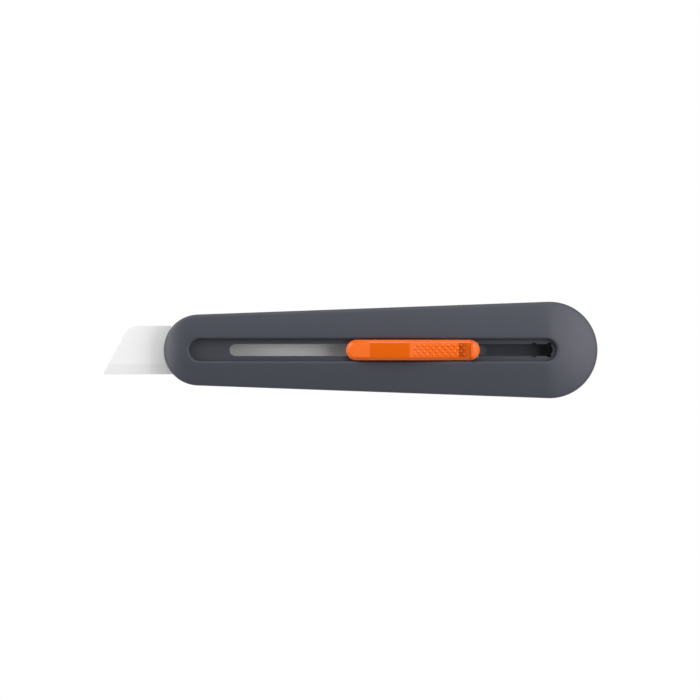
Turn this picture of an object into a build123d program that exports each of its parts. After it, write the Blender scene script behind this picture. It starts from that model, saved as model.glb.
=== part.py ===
from build123d import *
import os
from math import asin, cos, radians, sin, sqrt, tan

# Utility knife with a slide-out ceramic blade, in millimetres.
# It lies on its back on z = 0: slider up (+Z), blade towards -X, cutting edge towards -Y.
# The origin is the bottom centre of its box, with the blade at its first stop.

# ---- handle ----
HANDLE_LENGTH = 165.0
HANDLE_THICK = 20.0
NOSE_RADIUS = 13.5
REAR_RADIUS = 18.35
CROWN_RADIUS = 64.0  # across the handle, front and back
LAND_CUT = 0.5  # flat land ground off the back crown
NOSE_ROLL_X = 10.9  # quarter ellipse that rounds the nose
NOSE_ROLL_Z = 6.0
NOSE_ROLL_PAST = 0.5  # the ellipse ends this far ahead of the nose
REAR_ROLL_LENGTH = 19.7  # where the face starts to fall towards the rear end
REAR_ROLL_DROP = 6.4
REAR_ROLL_BEND = 8.0  # degrees, at the start of the fall
WALL = 2.4
EDGE_CHAMFER = 0.6
SPLIT_Z = 9.6
NOSE_SOLID = 6.8  # the nose is solid this far back, around the blade's mouth
TONGUE_THICK = 1.0  # locating rim on the rear shell
TONGUE_HEIGHT = 1.2
TONGUE_START = 15.8  # behind the nose
RIB_THICK = 1.8
RIB_Y = 4.5
CROSS_RIBS = 6

# ---- blade ----
BLADE_OUT = 23.4  # ahead of the nose at the first stop
BLADE_LENGTH = 120.0
BLADE_HEIGHT = 18.5
BLADE_THICK = 1.2
BLADE_SLANT = 61.7  # degrees, between cutting edge and front end
BLADE_CORNER = 6.3
BEVEL_HEIGHT = 3.85
EDGE_THICK = 0.1
NOTCH_FROM_TIP = 26.0
NOTCH_LENGTH = 5.0
NOTCH_DEPTH = 2.5
NOTCH_ROUND = 0.5

# ---- slide: recess, track and stops ----
RECESS_WIDTH = 8.4
RECESS_FROM_NOSE = 9.8
RECESS_FROM_REAR = 15.7
RECESS_DEPTH = 2.6
RIM_ROUND = 0.6
TRACK_WIDTH = 15.8
TRACK_THICK = 1.7
TRACK_PAST_RECESS = 1.8  # at the nose end
TRACK_PAST_REAR = 2.3
SLOT_WIDTH = 4.55
SLOT_FROM_NOSE = 25.05
SLOT_FROM_REAR = 17.2
STOP_PITCH = 26.9  # first stop to middle stop, and on to the last
RETRACT = 27.6  # first stop back to blade inside
TOOTH_LENGTH = 1.2
TOOTH_OUT = 0.4  # past the slot's side
POCKET_DEPTH = 0.8  # how far the teeth can rise into the track
TOOTH_UNDER = 0.15  # the teeth stand this far below the track while the button rides level
TOOTH_PITCH = 5.7
TOOTH_FROM_BUTTON_END = 1.4
TOOTH_GAP = 0.2

# ---- slider button ----
BUTTON_LENGTH = 50.9
BUTTON_WIDTH = 7.75
BUTTON_TOP = HANDLE_THICK + 2.8
BUTTON_FRONT_TOP = HANDLE_THICK - 0.2
BUTTON_LIFT = 0.35  # underside above the recess floor, from the front to the pivot
UNDERSIDE_MORE = 0.1  # degrees of underside slope beyond the press angle
SWING_ANGLE = 1.9
LIFT_ANGLE = 1.35  # the spring lifts the rear this far, and the teeth lock
PRESS_ANGLE = SWING_ANGLE - LIFT_ANGLE
BUTTON_CHAMFER = 0.8
RAMP_LENGTH = 9.2
PLATEAU_LENGTH = 14.7
GRIP_LENGTH = 18.8
GRIP_DROP = 2.1
VALLEY_LENGTH = 5.0
LIP_LENGTH = 1.5
LIP_RISE = 1.0
LIP_FALL = 1.1
DOT_RADIUS = 0.55
DOT_SUNK = 0.15
DOT_PITCH = 2.3
DOT_ROWS = 4
DOT_ROW_PITCH = 1.14
DOT_START = 2.5  # behind the plateau
DOTS_PER_ROW = 9

# ---- small parts ----
PIVOT_FROM_FRONT = 12.5
PIN_RADIUS = 0.75
PIN_SUNK = 0.3
SPRING_FROM_PIVOT = 17.0
SPRING_RADIUS = 1.4
SPRING_WIRE = 0.4
SPRING_TURNS = 5
SPRING_ROOF = 1.9  # button left above the spring
SCREW_RADIUS = 1.0
SCREW_LENGTH = 10.5
SCREW_HEAD_RADIUS = 1.6
SCREW_HEAD = 1.3
SCREW_SUNK = 0.6
BACK_FALL = 0.7  # the back crown's rise where the screws are
SCREW_FROM_EDGE = 2.85
INSERT_RADIUS = 1.4
INSERT_LENGTH = 3.5
BOSS_RADIUS = 2.05
HEX_RADIUS = 0.85
HEX_DEPTH = 0.7
FRONT_SCREWS_FROM_NOSE = 40.8
MIDDLE_SCREWS_FROM_NOSE = 92.8
REAR_SCREW_FROM_REAR = 8.7
REAR_SCREW_SUNK = 2.3
FLAT_SCREW_RADIUS = 0.8
FLAT_SCREW_HEAD = 1.5
TRACK_SCREW_Y = 5.6
TRACK_SCREW_LENGTH = 3.3
TRACK_SCREW_PLACES = 3
TRACK_SCREW_FROM_END = 8.0
RUNNER_WIDTH = 14.0
RUNNER_THICK = 1.4
RUNNER_PAST_BLADE = 24.6
RUNNER_SCREW_FROM_END = 12.0
RUNNER_SCREW_LENGTH = 5.2
POST_RADIUS = 2.0
RIVET_RADIUS = 0.7
RIVET_HEAD = 1.1
RIVET_HEAD_HEIGHT = 0.4
BUMPER_THICK = 2.4
BUMPER_WIDTH = 12.0
BUMPER_LOW = 0.5  # above the blade
BUMPER_ROUND = 0.5
REAR_WALL = 1.2
WALL_IN_BOSS = 0.5  # the rear wall runs into the rear screw's boss

# ---- blade sled ----
SLED_WIDTH = 17.0
SLED_BASE = 2.35
SLED_RAIL = 1.8
SLED_PAST_NECK = 2.8
ARM_WIDTH = 3.5
ARM_PAST_LUG = 1.3
BRIDGE_BEHIND_BUTTON = 0.5
NECK_WIDTH = 4.24
NECK_SUNK = 0.4  # neck top below the recess floor
SPINE_WIDTH = 6.4
TAB_WIDTH = 3.7
TAB_LENGTH = 1.2
EAR_RADIUS = 1.9
TOOTH_ROOM = 0.4
CLIP_THICK = 0.4
CLIP_LEAF_WIDTH = 5.6
CLIP_LEAF_LENGTH = 23.5
CLIP_FLANGE_WIDTH = 12.4
CLIP_FLANGE_LENGTH = 7.0
CLIP_RIVET_Y = 4.6
CLIP_FROM_PIVOT = 20.5  # front of the flange
LOCK_THICK = 0.8
LOCK_WIDTH = 5.8
LOCK_LIFT = 1.4  # plate above the recess floor
LOCK_FRONT = 3.7  # ahead of the first teeth
LOCK_END = 0.75  # behind the last teeth
LOCK_RIVET_AHEAD = 2.2  # of the first teeth
RIVET_IN_BUTTON = 0.5
LEG_IN = 1.3
LEG_OUT = 2.1
TOOTH_HEIGHT = 1.5

# ---- clearances ----
GAP = 0.1  # seats and joints between fixed pieces
RUN_GAP = 0.2  # sliding pieces
PIN_GAP = 0.05
TOUCH = 0.02

# ---- places worked out from the sizes ----
NOSE_X = BLADE_OUT - (HANDLE_LENGTH + BLADE_OUT) / 2
REAR_X = NOSE_X + HANDLE_LENGTH
TIP_X = NOSE_X - BLADE_OUT
NOSE_CENTRE = NOSE_X + NOSE_RADIUS
REAR_CENTRE = REAR_X - REAR_RADIUS
FAR = 2 * HANDLE_LENGTH

RECESS_FRONT = NOSE_X + RECESS_FROM_NOSE
RECESS_REAR = REAR_X - RECESS_FROM_REAR
FLOOR_Z = HANDLE_THICK - RECESS_DEPTH  # the recess's floor, the track's top
TRACK_Z = FLOOR_Z - TRACK_THICK
TRACK_FRONT = RECESS_FRONT - TRACK_PAST_RECESS
TRACK_REAR = RECESS_REAR + TRACK_PAST_REAR
SLOT_FRONT = NOSE_X + SLOT_FROM_NOSE
SLOT_REAR = REAR_X - SLOT_FROM_REAR
CAVITY_FRONT = NOSE_X + NOSE_SOLID

NECK_REAR = SLOT_REAR - RETRACT - RUN_GAP
NECK_FRONT = SLOT_FRONT + 2 * STOP_PITCH + RUN_GAP
BUTTON_REAR = NECK_REAR + RUN_GAP
BUTTON_FRONT = BUTTON_REAR - BUTTON_LENGTH
PIVOT_X = BUTTON_FRONT + PIVOT_FROM_FRONT
PIVOT_Z = FLOOR_Z + BUTTON_LIFT + 2 * PIN_RADIUS
UNDER_Z = FLOOR_Z + BUTTON_LIFT
TOOTH_X = [BUTTON_REAR - TOOTH_FROM_BUTTON_END - TOOTH_PITCH, BUTTON_REAR - TOOTH_FROM_BUTTON_END]
TOOTH_TOP = TRACK_Z - TOOTH_UNDER
POCKET_TOP = TRACK_Z + POCKET_DEPTH
TOOTH_DROP = (TOOTH_X[1] - PIVOT_X) * sin(radians(PRESS_ANGLE))

BLADE_Z = SPLIT_Z + RUN_GAP
BLADE_TOP = BLADE_Z + BLADE_THICK
BLADE_REAR = TIP_X + BLADE_LENGTH
LUG_X = BLADE_REAR - NOTCH_FROM_TIP - NOTCH_LENGTH / 2
SLED_Z = BLADE_TOP + PIN_GAP
BASE_TOP = SLED_Z + SLED_BASE
RAIL_TOP = TRACK_Z - GAP
NECK_TOP = FLOOR_Z - NECK_SUNK
SLED_REAR = NECK_REAR + SLED_PAST_NECK
RUNNER_TOP = BLADE_Z - GAP
RUNNER_Z = RUNNER_TOP - RUNNER_THICK
RUNNER_REAR = BLADE_REAR + RETRACT + RUNNER_PAST_BLADE
LOCK_Z = FLOOR_Z + LOCK_LIFT
RAMP_END = BUTTON_FRONT + RAMP_LENGTH
PLATEAU_END = RAMP_END + PLATEAU_LENGTH
GRIP_END = PLATEAU_END + GRIP_LENGTH
VALLEY_END = GRIP_END + VALLEY_LENGTH
LIP_X = VALLEY_END + LIP_LENGTH
VALLEY_Z = BUTTON_TOP - GRIP_DROP
CLIP_X = PIVOT_X + CLIP_FROM_PIVOT
GRIP_RADIUS = (GRIP_LENGTH**2 + GRIP_DROP**2) / (2 * GRIP_DROP)
SPRING_X = PIVOT_X + SPRING_FROM_PIVOT
REAR_WALL_X = REAR_X - REAR_SCREW_FROM_REAR - BOSS_RADIUS + WALL_IN_BOSS - REAR_WALL
SPRING_TOP = BUTTON_TOP - SPRING_ROOF
LOCK_LOW_X = TOOTH_X[0] - LOCK_FRONT
LOCK_HIGH_X = TOOTH_X[1] + LOCK_END
LOCK_RIVET_X = [TOOTH_X[0] - LOCK_RIVET_AHEAD, (TOOTH_X[0] + TOOTH_X[1]) / 2]
RUNNER_SCREW_X = [CAVITY_FRONT + RUNNER_SCREW_FROM_END, RUNNER_REAR - RUNNER_SCREW_FROM_END]


def box(low, high):
    """A box between two corners."""
    size = [b - a for a, b in zip(low, high)]
    middle = [(a + b) / 2 for a, b in zip(low, high)]
    return Pos(*middle) * Box(*size)


def rod(x, y, low, high, radius):
    """An upright cylinder from z = low to z = high."""
    return Pos(x, y, (low + high) / 2) * Cylinder(radius, high - low)


def obround(front, rear, width, low, high):
    """A slot-shaped block along X with round ends."""
    radius = width / 2
    length = rear - front - width
    middle = Pos((front + rear) / 2, 0, (low + high) / 2)
    block = middle * Box(length, width, high - low)
    return block + rod(front + radius, 0, low, high, radius) + rod(rear - radius, 0, low, high, radius)


def closed(edges):
    """A face inside a closed run of edges."""
    return Face(Wire(edges))


# ---- handle form ----


def half_width(x):
    """Half the handle's width on its straight, tapering sides."""
    lean = asin((REAR_RADIUS - NOSE_RADIUS) / (REAR_CENTRE - NOSE_CENTRE))
    return NOSE_RADIUS / cos(lean) + (x - NOSE_CENTRE) * tan(lean)


def plan(inset):
    """The handle seen from above: two circles and their tangents."""
    nose = NOSE_RADIUS - inset
    rear = REAR_RADIUS - inset
    lean = asin((REAR_RADIUS - NOSE_RADIUS) / (REAR_CENTRE - NOSE_CENTRE))
    nose_side = Vector(NOSE_CENTRE - nose * sin(lean), nose * cos(lean))
    rear_side = Vector(REAR_CENTRE - rear * sin(lean), rear * cos(lean))
    nose_low = Vector(nose_side.X, -nose_side.Y)
    rear_low = Vector(rear_side.X, -rear_side.Y)
    front_arc = ThreePointArc(nose_low, (NOSE_CENTRE - nose, 0), nose_side)
    rear_arc = ThreePointArc(rear_side, (REAR_CENTRE + rear, 0), rear_low)
    return closed([front_arc, Line(nose_side, rear_side), rear_arc, Line(rear_low, nose_low)])


def rear_fall():
    """Centre and radius of the arc by which the face falls to the rear end."""
    chord = sqrt(REAR_ROLL_LENGTH**2 + REAR_ROLL_DROP**2)
    turn = asin(REAR_ROLL_DROP / chord) - radians(REAR_ROLL_BEND)
    radius = chord / (2 * sin(turn))
    centre_x = REAR_X - REAR_ROLL_LENGTH - radius * sin(radians(REAR_ROLL_BEND))
    centre_z = HANDLE_THICK - radius * cos(radians(REAR_ROLL_BEND))
    return centre_x, centre_z, radius


def side_profile(inset):
    """The handle seen from the side, the same above and below."""
    arc_x, arc_z, arc_r = rear_fall()
    arc_r -= inset
    roll_x = NOSE_X + NOSE_ROLL_X - NOSE_ROLL_PAST
    high = HANDLE_THICK - inset
    turn_x = arc_x + sqrt(arc_r**2 - (high - arc_z) ** 2)
    end_x = REAR_X + NOSE_ROLL_PAST - inset

    def fall(x):
        return arc_z + sqrt(arc_r**2 - (x - arc_x) ** 2)

    middle_x = (turn_x + end_x) / 2
    roll = (NOSE_ROLL_X - inset, NOSE_ROLL_Z - inset)
    nose_top = EllipticalCenterArc((roll_x, HANDLE_THICK - NOSE_ROLL_Z), *roll, 90, arc_size=90)
    nose_low = EllipticalCenterArc((roll_x, NOSE_ROLL_Z), *roll, 180, arc_size=90)
    rear_top = ThreePointArc((turn_x, high), (middle_x, fall(middle_x)), (end_x, fall(end_x)))
    rear_low = ThreePointArc(
        (turn_x, inset),
        (middle_x, HANDLE_THICK - fall(middle_x)),
        (end_x, HANDLE_THICK - fall(end_x)),
    )
    edges = [
        nose_top,
        Line(nose_top @ 1, nose_low @ 0),
        nose_low,
        Line(nose_low @ 1, rear_low @ 0),
        rear_low,
        Line(rear_low @ 1, rear_top @ 1),
        rear_top,
        Line(rear_top @ 0, nose_top @ 0),
    ]
    return Plane.XZ * closed(edges)


def handle_form(inset):
    """The handle's outer form, or the same form that much smaller all round."""
    tall = extrude(plan(inset), HANDLE_THICK, dir=(0, 0, 1))
    wide = extrude(side_profile(inset), 2 * REAR_RADIUS, dir=(0, 1, 0), both=True)
    along = Rot(0, 90, 0) * Cylinder(CROWN_RADIUS - inset, FAR)
    front_crown = Pos(0, 0, HANDLE_THICK - CROWN_RADIUS) * along
    back_crown = Pos(0, 0, CROWN_RADIUS - LAND_CUT) * along
    return tall & wide & front_crown & back_crown & box((-FAR, -FAR, inset), (FAR, FAR, HANDLE_THICK))


def below(shape, z):
    return shape & box((-FAR, -FAR, -FAR), (FAR, FAR, z))


def above(shape, z):
    return shape & box((-FAR, -FAR, z), (FAR, FAR, FAR))




def eased_form():
    """The outer form with the edge between its faces and its sides eased."""
    form = handle_form(0)
    sides = [face for face in form.faces() if abs(face.normal_at().Z) < 0.05]
    rims = [edge for side in sides for edge in side.edges()]
    off_middle = HANDLE_THICK / 8
    rims = [edge for edge in rims if abs(edge.center().Z - HANDLE_THICK / 2) > off_middle]
    return chamfer(rims, EDGE_CHAMFER)


OUTER = eased_form()
INNER = handle_form(WALL) & box((CAVITY_FRONT, -FAR, -FAR), (FAR, FAR, FAR))


def screw_places():
    """Where the handle's screws are: x, y and the height of the seat under the head."""
    front_x = NOSE_X + FRONT_SCREWS_FROM_NOSE
    middle_x = NOSE_X + MIDDLE_SCREWS_FROM_NOSE
    seat = SCREW_SUNK + SCREW_HEAD + BACK_FALL
    places = []
    for x in (front_x, middle_x):
        for side in (-1, 1):
            places.append((x, side * (half_width(x) - SCREW_FROM_EDGE), seat))
    places.append((REAR_X - REAR_SCREW_FROM_REAR, 0, seat + REAR_SCREW_SUNK))
    return places


SCREW_PLACES = screw_places()


def tongue(extra):
    """The rim that locates the shells, or the groove for it, that much larger."""
    outside = extrude(plan(WALL - TONGUE_THICK - extra), TONGUE_HEIGHT + extra, dir=(0, 0, 1))
    inside = extrude(plan(WALL + extra), TONGUE_HEIGHT + extra, dir=(0, 0, 1))
    ring = Pos(0, 0, SPLIT_Z) * (outside - inside)
    return ring & box((NOSE_X + TONGUE_START - extra, -FAR, 0), (FAR, FAR, FAR))


# ---- front shell ----


def front_shell():
    """The upper half, open at the recess and at the mouth."""
    shell = above(OUTER, SPLIT_Z) - above(INNER, SPLIT_Z) - tongue(GAP)
    reach = TRACK_WIDTH / 2 + GAP
    shell -= box((TRACK_FRONT - GAP, -reach, SPLIT_Z), (TRACK_REAR + GAP, reach, FLOOR_Z))
    for x, y, seat in SCREW_PLACES:
        shell += above(rod(x, y, SPLIT_Z, HANDLE_THICK, BOSS_RADIUS) & OUTER, SPLIT_Z)
    wall_end = REAR_WALL_X + REAR_WALL
    shell += above(INNER, SPLIT_Z) & box((REAR_WALL_X, -FAR, 0), (wall_end, FAR, FAR))
    shell -= recess_cutter()
    mouth = BLADE_HEIGHT / 2 + 2 * RUN_GAP
    shell -= box((NOSE_X - 1, -mouth, 0), (CAVITY_FRONT + 4, mouth, BLADE_TOP + RUN_GAP))
    for x, y, seat in SCREW_PLACES:
        shell -= rod(x, y, SPLIT_Z - 1, SPLIT_Z + GAP + INSERT_LENGTH, INSERT_RADIUS)
        shell -= rod(x, y, SPLIT_Z - 1, seat + SCREW_LENGTH + 2 * GAP, SCREW_RADIUS + GAP)
    for x, y in track_screw_places():
        hole = FLAT_SCREW_RADIUS + TOUCH
        shell -= rod(x, y, TRACK_Z, TRACK_Z + TRACK_SCREW_LENGTH + GAP, hole)
    return shell


def recess_cutter():
    """The recess as a cutter, flared at the face so that its rim comes out rounded."""
    reach = 2 * RECESS_WIDTH
    crown = Pos(0, 0, HANDLE_THICK - CROWN_RADIUS) * Rot(0, 90, 0) * Cylinder(CROWN_RADIUS, FAR)
    block = crown & box((-HANDLE_LENGTH, -reach, 0), (HANDLE_LENGTH, reach, FAR))
    cut = block - obround(RECESS_FRONT, RECESS_REAR, RECESS_WIDTH, FLOOR_Z - 1, HANDLE_THICK + 1)
    middle_z = (FLOOR_Z + HANDLE_THICK) / 2
    rim = [edge for edge in cut.edges() if edge.center().Z > middle_z]
    rim = [edge for edge in rim if abs(edge.center().Y) < RECESS_WIDTH / 2 + GAP]
    rim = [edge for edge in rim if RECESS_FRONT - GAP < edge.center().X < RECESS_REAR + GAP]
    rim = [edge for edge in rim if edge.bounding_box().size.Z < RECESS_DEPTH / 2]
    return block - fillet(rim, RIM_ROUND)


# ---- rear shell ----


def rear_shell():
    """The lower half: floor, ribs under the runner, screw posts and locating rim."""
    hollow = below(INNER, SPLIT_Z)
    shell = below(OUTER, SPLIT_Z) - hollow
    inside = below(hollow, RUNNER_Z)
    for side in (-1, 1):
        low = side * RIB_Y - RIB_THICK / 2
        shell += inside & box((-FAR, low, 0), (SCREW_PLACES[-1][0], low + RIB_THICK, FAR))
    rib_pitch = (RUNNER_REAR - CAVITY_FRONT) / CROSS_RIBS
    for count in range(CROSS_RIBS):
        x = CAVITY_FRONT + (count + 1) * rib_pitch
        shell += inside & box((x - RIB_THICK, -FAR, 0), (x, FAR, FAR))
    for x in RUNNER_SCREW_X:
        shell += inside & rod(x, 0, 0, RUNNER_Z, POST_RADIUS)
    rim = tongue(0)
    for x, y, seat in SCREW_PLACES:
        shell += below(rod(x, y, 0, SPLIT_Z, SCREW_HEAD_RADIUS + 1) & OUTER, SPLIT_Z)
        rim -= rod(x, y, SPLIT_Z, FAR, BOSS_RADIUS + 3 * GAP)
    shell += rim
    for x, y, seat in SCREW_PLACES:
        shell -= rod(x, y, -1, seat, SCREW_HEAD_RADIUS + GAP)
        shell -= rod(x, y, -1, SPLIT_Z + 1, SCREW_RADIUS + GAP)
    for x in RUNNER_SCREW_X:
        hole = FLAT_SCREW_RADIUS + TOUCH
        shell -= rod(x, 0, RUNNER_TOP - RUNNER_SCREW_LENGTH - GAP, FAR, hole)
    return shell


# ---- screws and inserts ----


def handle_screw(x, y, seat):
    head = rod(x, y, seat - SCREW_HEAD, seat, SCREW_HEAD_RADIUS)
    shank = rod(x, y, seat, seat + SCREW_LENGTH, SCREW_RADIUS - TOUCH)
    socket = Pos(x, y, seat - SCREW_HEAD) * extrude(RegularPolygon(HEX_RADIUS, 6), HEX_DEPTH)
    return fillet((head + shank).edges().group_by(Axis.Z)[0], 2 * GAP) - socket


def insert(x, y):
    low = SPLIT_Z + GAP
    high = low + INSERT_LENGTH
    middle = (low + high) / 2
    body = rod(x, y, low, high, INSERT_RADIUS)
    groove = rod(x, y, middle - 2 * GAP, middle + 2 * GAP, INSERT_RADIUS)
    groove -= rod(x, y, 0, FAR, INSERT_RADIUS - GAP)
    return body - groove - rod(x, y, 0, FAR, SCREW_RADIUS)


def flat_screw(length):
    """A flat-head screw with its head's face on z = 0 and its tip at z = -length."""
    cone = FLAT_SCREW_HEAD - FLAT_SCREW_RADIUS
    head = Pos(0, 0, -cone / 2) * Cone(FLAT_SCREW_RADIUS, FLAT_SCREW_HEAD, cone)
    shank = rod(0, 0, -length, -cone, FLAT_SCREW_RADIUS)
    slots = Pos(0, 0, -GAP) * (Box(1.6, 0.4, 0.4) + Box(0.4, 1.6, 0.4))
    return head + shank - slots


def track_screw_places():
    step = (TRACK_REAR - TRACK_FRONT - 2 * TRACK_SCREW_FROM_END) / (TRACK_SCREW_PLACES - 1)
    xs = [TRACK_FRONT + TRACK_SCREW_FROM_END + count * step for count in range(TRACK_SCREW_PLACES)]
    return [(x, side * TRACK_SCREW_Y) for x in xs for side in (-1, 1)]


# ---- slide track and blade runner ----


def slide_track():
    """The strip under the recess: slot, through notches at the rear stop, pockets at the others."""
    reach = TRACK_WIDTH / 2
    strip = box((TRACK_FRONT, -reach, TRACK_Z), (TRACK_REAR, reach, FLOOR_Z - TOUCH))
    strip -= obround(SLOT_FRONT, SLOT_REAR, SLOT_WIDTH, TRACK_Z - 1, FLOOR_Z + 1)
    half = TOOTH_LENGTH / 2 + TOOTH_GAP
    out = SLOT_WIDTH / 2 + TOOTH_OUT + GAP
    for travel in (RETRACT, 0, -STOP_PITCH, -2 * STOP_PITCH):
        top = FLOOR_Z + 1 if travel == RETRACT else POCKET_TOP + GAP
        for x in TOOTH_X:
            strip -= box((x + travel - half, -out, TRACK_Z - 1), (x + travel + half, out, top))
    for x, y in track_screw_places():
        sink = FLAT_SCREW_HEAD - FLAT_SCREW_RADIUS + TOUCH
        strip -= Pos(x, y, TRACK_Z + sink / 2) * Cone(FLAT_SCREW_HEAD + TOUCH, FLAT_SCREW_RADIUS, sink)
        strip -= rod(x, y, TRACK_Z - 1, FLOOR_Z + 1, FLAT_SCREW_RADIUS + TOUCH)
    return strip


def blade_runner():
    reach = RUNNER_WIDTH / 2
    strip = box((CAVITY_FRONT + GAP, -reach, RUNNER_Z), (RUNNER_REAR, reach, RUNNER_TOP))
    strip = fillet(strip.edges().filter_by(Axis.Z), 1.5)
    for x in RUNNER_SCREW_X:
        sink = FLAT_SCREW_HEAD - FLAT_SCREW_RADIUS + TOUCH
        strip -= Pos(x, 0, RUNNER_TOP - sink / 2) * Cone(FLAT_SCREW_RADIUS, FLAT_SCREW_HEAD + TOUCH, sink)
        strip -= rod(x, 0, 0, FAR, FLAT_SCREW_RADIUS + TOUCH)
    return strip


def stop_bumpers():
    """Rubber stops for the sled at the nose and at the rear wall."""
    low = BLADE_TOP + BUMPER_LOW
    half = BUMPER_WIDTH / 2
    front = box((CAVITY_FRONT, -half, low), (CAVITY_FRONT + BUMPER_THICK, half, RAIL_TOP))
    rear = box((REAR_WALL_X - BUMPER_THICK, -half, low), (REAR_WALL_X, half, RAIL_TOP))
    front = fillet(front.edges().group_by(Axis.X)[-1], BUMPER_ROUND)
    rear = fillet(rear.edges().group_by(Axis.X)[0], BUMPER_ROUND)
    return [front, rear]


# ---- blade ----


def blade():
    """A reversible blade: sharp long side, notches in its back, both ends slanted."""
    half = BLADE_HEIGHT / 2
    slope = BLADE_HEIGHT / tan(radians(BLADE_SLANT))
    corners = [(TIP_X, -half), (BLADE_REAR, -half), (BLADE_REAR - slope, half), (TIP_X + slope, half)]
    face = make_face(Polyline(*corners, close=True))
    face = fillet(face.vertices().group_by(Axis.Y)[-1], BLADE_CORNER)
    for x in (TIP_X + NOTCH_FROM_TIP + NOTCH_LENGTH / 2, LUG_X):
        notch = Pos(x, half) * RectangleRounded(NOTCH_LENGTH, 2 * NOTCH_DEPTH, NOTCH_ROUND)
        face -= notch
    plate = Pos(0, 0, BLADE_Z) * extrude(face, BLADE_THICK, dir=(0, 0, 1))
    middle = BLADE_Z + BLADE_THICK / 2
    bevel = BEVEL_HEIGHT - half
    section = [
        (half, BLADE_Z),
        (bevel, BLADE_Z),
        (-half, middle - EDGE_THICK / 2),
        (-half, middle + EDGE_THICK / 2),
        (bevel, BLADE_TOP),
        (half, BLADE_TOP),
    ]
    ground = extrude(Plane.YZ * make_face(Polyline(*section, close=True)), FAR, dir=(1, 0, 0), both=True)
    return plate & ground


# ---- blade sled ----


def blade_sled():
    """The carriage: rails, arms with the blade's lug, and the neck through the slot."""
    half = SLED_WIDTH / 2
    front = LUG_X - NOTCH_LENGTH / 2 - ARM_PAST_LUG
    bridge = BUTTON_FRONT + BRIDGE_BEHIND_BUTTON
    sled = box((front, -half, SLED_Z), (SLED_REAR, half, BASE_TOP))
    sled = fillet(sled.edges().filter_by(Axis.Z), 1.0)
    inner = half - ARM_WIDTH
    sled -= box((front - 1, -inner, 0), (bridge, inner, FAR))
    for side in (-1, 1):
        low, high = sorted((side * (half - SLED_RAIL), side * half))
        sled += box((front + 1, low, SLED_Z), (SLED_REAR - 1, high, RAIL_TOP))
    sled += box((NECK_FRONT, -SPINE_WIDTH / 2, SLED_Z), (NECK_REAR - 0.8, SPINE_WIDTH / 2, RAIL_TOP))
    sled += obround(NECK_FRONT, NECK_REAR, NECK_WIDTH, BASE_TOP - 1, NECK_TOP)
    sled += box((NECK_REAR - 3, -TAB_WIDTH / 2, SLED_Z), (NECK_REAR + TAB_LENGTH, TAB_WIDTH / 2, RAIL_TOP))
    neck = NECK_WIDTH / 2
    ear = box((PIVOT_X - EAR_RADIUS, -neck, RAIL_TOP), (PIVOT_X + EAR_RADIUS, neck, PIVOT_Z))
    ear += Pos(PIVOT_X, 0, PIVOT_Z) * Rot(90, 0, 0) * Cylinder(EAR_RADIUS, NECK_WIDTH)
    sled += ear & obround(NECK_FRONT, NECK_REAR, NECK_WIDTH, 0, FAR)
    sled -= Pos(PIVOT_X, 0, PIVOT_Z) * Rot(90, 0, 0) * Cylinder(PIN_RADIUS + PIN_GAP, BUTTON_WIDTH)
    room = TOOTH_TOP - TOOTH_HEIGHT - TOOTH_DROP - TOOTH_ROOM
    for x in TOOTH_X:
        for side in (-1, 1):
            low, high = sorted((side * (LEG_IN - RUN_GAP), side * (SPINE_WIDTH / 2 + 1)))
            reach = TOOTH_LENGTH / 2 + TOOTH_ROOM
            sled -= box((x - reach, low, room), (x + reach, high, FAR))
    lug_half = NOTCH_LENGTH / 2 - PIN_GAP
    lug_low = BLADE_HEIGHT / 2 - NOTCH_DEPTH + NOTCH_ROUND
    sled += box((LUG_X - lug_half, lug_low, BLADE_Z + GAP), (LUG_X + lug_half, half, SLED_Z + 1))
    flange = CLIP_X
    clear = CLIP_THICK + GAP
    sled -= box(
        (flange - 2 * GAP, -CLIP_FLANGE_WIDTH / 2 - GAP, 0),
        (flange + CLIP_FLANGE_LENGTH + GAP, CLIP_FLANGE_WIDTH / 2 + GAP, SLED_Z + clear),
    )
    leaf = CLIP_LEAF_WIDTH / 2 + GAP
    sled -= box((flange - CLIP_LEAF_LENGTH - GAP, -leaf, 0), (flange, leaf, SLED_Z + clear))
    for x, y in clip_rivet_places():
        sled -= rod(x, y, 0, BASE_TOP + 1, RIVET_RADIUS + TOUCH)
    return sled


def clip_rivet_places():
    x = CLIP_X + CLIP_FLANGE_LENGTH / 2
    return [(x, -CLIP_RIVET_Y), (x, CLIP_RIVET_Y)]


def blade_clip():
    """Spring-steel leaf: a riveted flange and a tongue that bends down on to the blade."""
    top = SLED_Z + CLIP_THICK + GAP
    low = BLADE_TOP + TOUCH
    tip = CLIP_X - CLIP_LEAF_LENGTH
    bend = CLIP_X - CLIP_LEAF_LENGTH / 3
    flange = box(
        (CLIP_X, -CLIP_FLANGE_WIDTH / 2, top - CLIP_THICK),
        (CLIP_X + CLIP_FLANGE_LENGTH, CLIP_FLANGE_WIDTH / 2, top),
    )
    side = [
        (CLIP_X, top),
        (bend, top),
        (tip, low + CLIP_THICK),
        (tip, low),
        (bend, top - CLIP_THICK),
        (CLIP_X, top - CLIP_THICK),
    ]
    strip = Plane.XZ * make_face(Polyline(*side, close=True))
    leaf = extrude(strip, CLIP_LEAF_WIDTH / 2, dir=(0, 1, 0), both=True)
    clip = flange + leaf
    for x, y in clip_rivet_places():
        clip -= rod(x, y, 0, FAR, RIVET_RADIUS + TOUCH)
    return clip


def rivet(x, y, low, high):
    """A rivet with a head below z = low and one above z = high."""
    shank = rod(x, y, low, high, RIVET_RADIUS)
    under = rod(x, y, low - RIVET_HEAD_HEIGHT, low, RIVET_HEAD)
    over = rod(x, y, high, high + RIVET_HEAD_HEIGHT, RIVET_HEAD)
    return shank + under + over


# ---- slider button, its lock, pin and spring ----


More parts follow.
